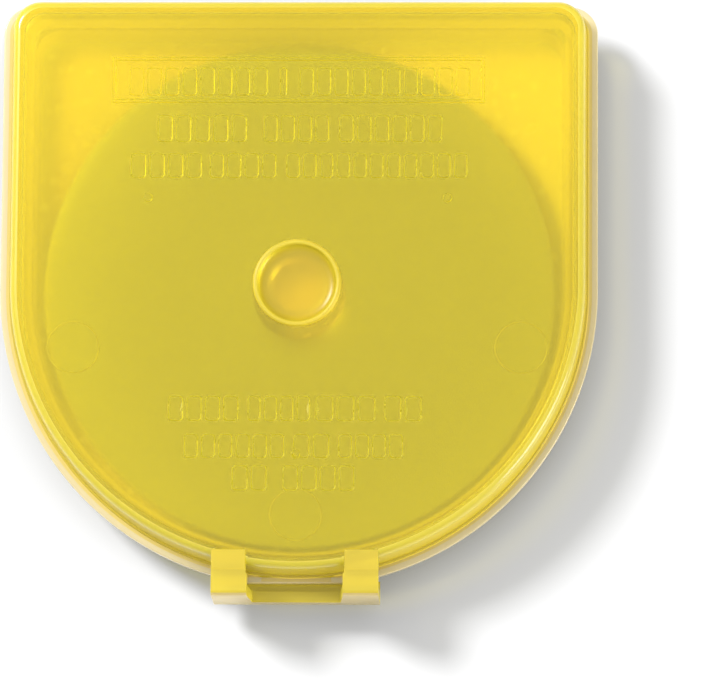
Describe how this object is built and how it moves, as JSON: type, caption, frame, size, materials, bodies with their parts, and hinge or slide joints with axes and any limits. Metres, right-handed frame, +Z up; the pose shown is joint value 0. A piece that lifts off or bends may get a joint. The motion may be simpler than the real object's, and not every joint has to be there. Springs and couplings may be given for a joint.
{
  "type": "rotary cutter blade case",
  "caption": "Translucent clamshell case for round rotary-cutter blades: base tray with centre post, hinged lid, hook hasp and a stack of steel blades.",
  "frame": {"origin": "on the centre post's axis, at the underside of the base", "axes": "+Z up through the lid, +Y towards the living hinge, -Y towards the hasp, +X to the right of someone facing the hasp"},
  "size_m": [0.0524, 0.0534, 0.0092],
  "materials": {
    "case_plastic": "translucent yellow polypropylene, satin gloss",
    "blade_steel": "ground tool steel with a bright bevel"
  },
  "bodies": {
    "base": {"base_tray": "case_plastic", "centre_post": "case_plastic", "living_hinge": "case_plastic"},
    "lid": {"lid_shell": "case_plastic", "lid_spigot": "case_plastic", "hasp_film_hinges": "case_plastic"},
    "hasp": {"hasp": "case_plastic"},
    "blade_1": {"blade_1": "blade_steel"},
    "blade_2": {"blade_2": "blade_steel"},
    "blade_3": {"blade_3": "blade_steel"},
    "blade_4": {"blade_4": "blade_steel"},
    "blade_5": {"blade_5": "blade_steel"}
  },
  "joints": [
    {"name": "lid_hinge", "type": "hinge", "parent": "base", "child": "lid", "pos_m": [0, 0.0255, 0.00503], "axis": [-1, 0, 0], "range_deg": [0, 180], "deforming": ["living_hinge"]},
    {"name": "hasp_flex", "type": "hinge", "parent": "lid", "child": "hasp", "pos_m": [0, -0.02535, 0.00878], "axis": [-1, 0, 0], "range_deg": [0, 20], "stiffness_Nm_per_rad": 0.01, "deforming": ["hasp_film_hinges"]},
    {"name": "blade_1_spin", "type": "hinge", "parent": "base", "child": "blade_1", "pos_m": [0, 0, 0.00133], "axis": [0, 0, 1], "continuous": true},
    {"name": "blade_2_spin", "type": "hinge", "parent": "base", "child": "blade_2", "pos_m": [0, 0, 0.00166], "axis": [0, 0, 1], "continuous": true},
    {"name": "blade_3_spin", "type": "hinge", "parent": "base", "child": "blade_3", "pos_m": [0, 0, 0.00199], "axis": [0, 0, 1], "continuous": true},
    {"name": "blade_4_spin", "type": "hinge", "parent": "base", "child": "blade_4", "pos_m": [0, 0, 0.00232], "axis": [0, 0, 1], "continuous": true},
    {"name": "blade_5_spin", "type": "hinge", "parent": "base", "child": "blade_5", "pos_m": [0, 0, 0.00265], "axis": [0, 0, 1], "continuous": true}
  ]
}
